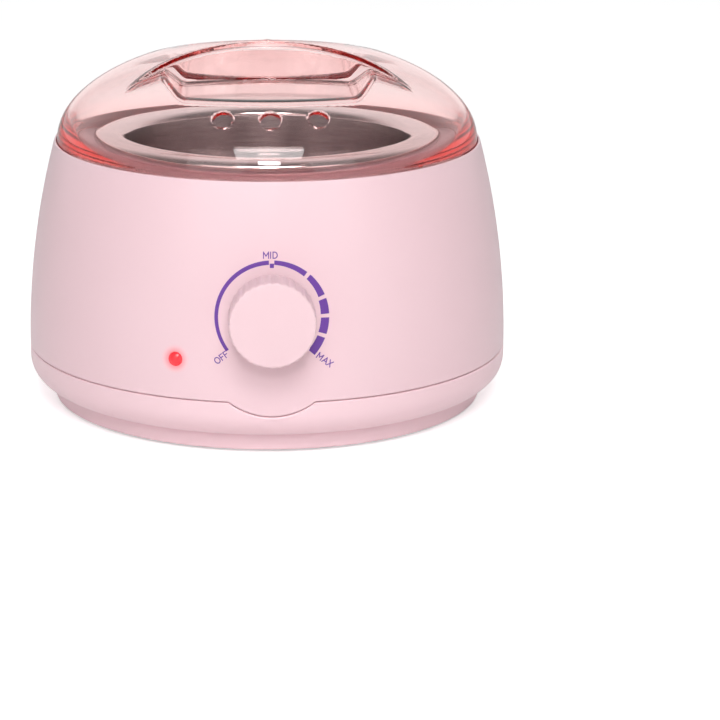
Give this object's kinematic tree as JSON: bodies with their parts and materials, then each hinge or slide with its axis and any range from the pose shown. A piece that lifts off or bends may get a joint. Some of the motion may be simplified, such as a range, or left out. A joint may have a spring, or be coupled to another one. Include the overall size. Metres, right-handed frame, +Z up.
{
  "type": "wax warmer pot",
  "caption": "Round barrel-sided wax warmer with a lift-out metal pot, a clear dome lid with finger pockets, a front temperature knob and an indicator lamp.",
  "frame": {"origin": "on the table under the middle of the overall box, on the housing's vertical axis", "axes": "+Z up along the housing's axis; -Y towards the knob and the user; +X to the user's right when facing the knob"},
  "size_m": [0.18, 0.204, 0.1353],
  "materials": {
    "housing_pink": "glossy moulded plastic",
    "base_pink": "glossy moulded plastic",
    "knob_pink": "satin moulded plastic",
    "lid_clear": "clear rose tint",
    "pot_metal": "polished",
    "well_metal": "satin",
    "seal_silicone": "matte silicone",
    "feet_rubber": "matte",
    "gland_rubber": "matte",
    "zinc_steel": "zinc plated",
    "mica": "pressed mica",
    "strap_steel": "rolled strip",
    "brass": "stamped",
    "ceramic": "unglazed",
    "spring_bronze": "rolled",
    "contact_silver": "bright",
    "bimetal": "rolled",
    "glass_fibre": "braided sleeve",
    "lens_red": "clear red",
    "lamp_glass": "clear",
    "resistor_brown": "lacquered",
    "block_white": "moulded",
    "wire_brown": "silicone insulation",
    "wire_blue": "silicone insulation",
    "wire_red": "silicone insulation",
    "wire_white": "silicone insulation",
    "spring_steel": "spring steel",
    "spindle_steel": "turned"
  },
  "bodies": {
    "housing": {"upper_housing": "housing_pink", "deck_ring": "housing_pink", "base_shell": "base_pink", "rubber_feet": "feet_rubber", "base_screws": "zinc_steel", "heating_well": "well_metal", "well_screws": "zinc_steel", "well_seal": "seal_silicone", "heater_band": "mica", "heater_clamp": "strap_steel", "clamp_screw": "zinc_steel", "clamp_nut": "zinc_steel", "heater_terminals": "brass", "thermostat_bracket": "strap_steel", "thermostat_bushing": "brass", "thermostat_nut": "zinc_steel", "thermostat_insulators": "ceramic", "thermostat_rivet": "brass", "adjuster_leaf": "spring_bronze", "contact_leaf": "spring_bronze", "bimetal_strip": "bimetal", "contact_points": "contact_silver", "bimetal_pin": "ceramic", "thermal_fuse": "contact_silver", "fuse_sleeve": "glass_fibre", "fuse_clip": "strap_steel", "indicator_lens": "lens_red", "indicator_lamp": "lamp_glass", "lamp_sleeve": "glass_fibre", "lamp_resistor": "resistor_brown", "terminal_block": "block_white", "terminal_screws": "brass", "block_screws": "zinc_steel", "cord_gland": "gland_rubber", "cord_clamp": "block_white", "cord_clamp_screws": "zinc_steel", "live_wire": "wire_brown", "neutral_wire": "wire_blue", "switched_wire": "wire_red", "heater_wire": "wire_red", "lamp_live_wire": "wire_white", "lamp_neutral_wire": "wire_blue"},
    "knob": {"knob": "knob_pink", "knob_clip": "spring_steel", "thermostat_spindle": "spindle_steel"},
    "pot": {"inner_pot": "pot_metal"},
    "lid": {"lid": "lid_clear"}
  },
  "joints": [
    {"name": "knob_turn", "type": "hinge", "parent": "housing", "child": "knob", "pos_m": [0, -0.095, 0.0525], "axis": [0, 1, 0], "range_deg": [-127, 132]},
    {"name": "pot_lift", "type": "slide", "parent": "housing", "child": "pot", "axis": [0, 0, 1], "range_m": [0, 0.11]},
    {"name": "lid_lift", "type": "slide", "parent": "pot", "child": "lid", "axis": [0, 0, 1], "range_m": [0, 0.06]}
  ]
}
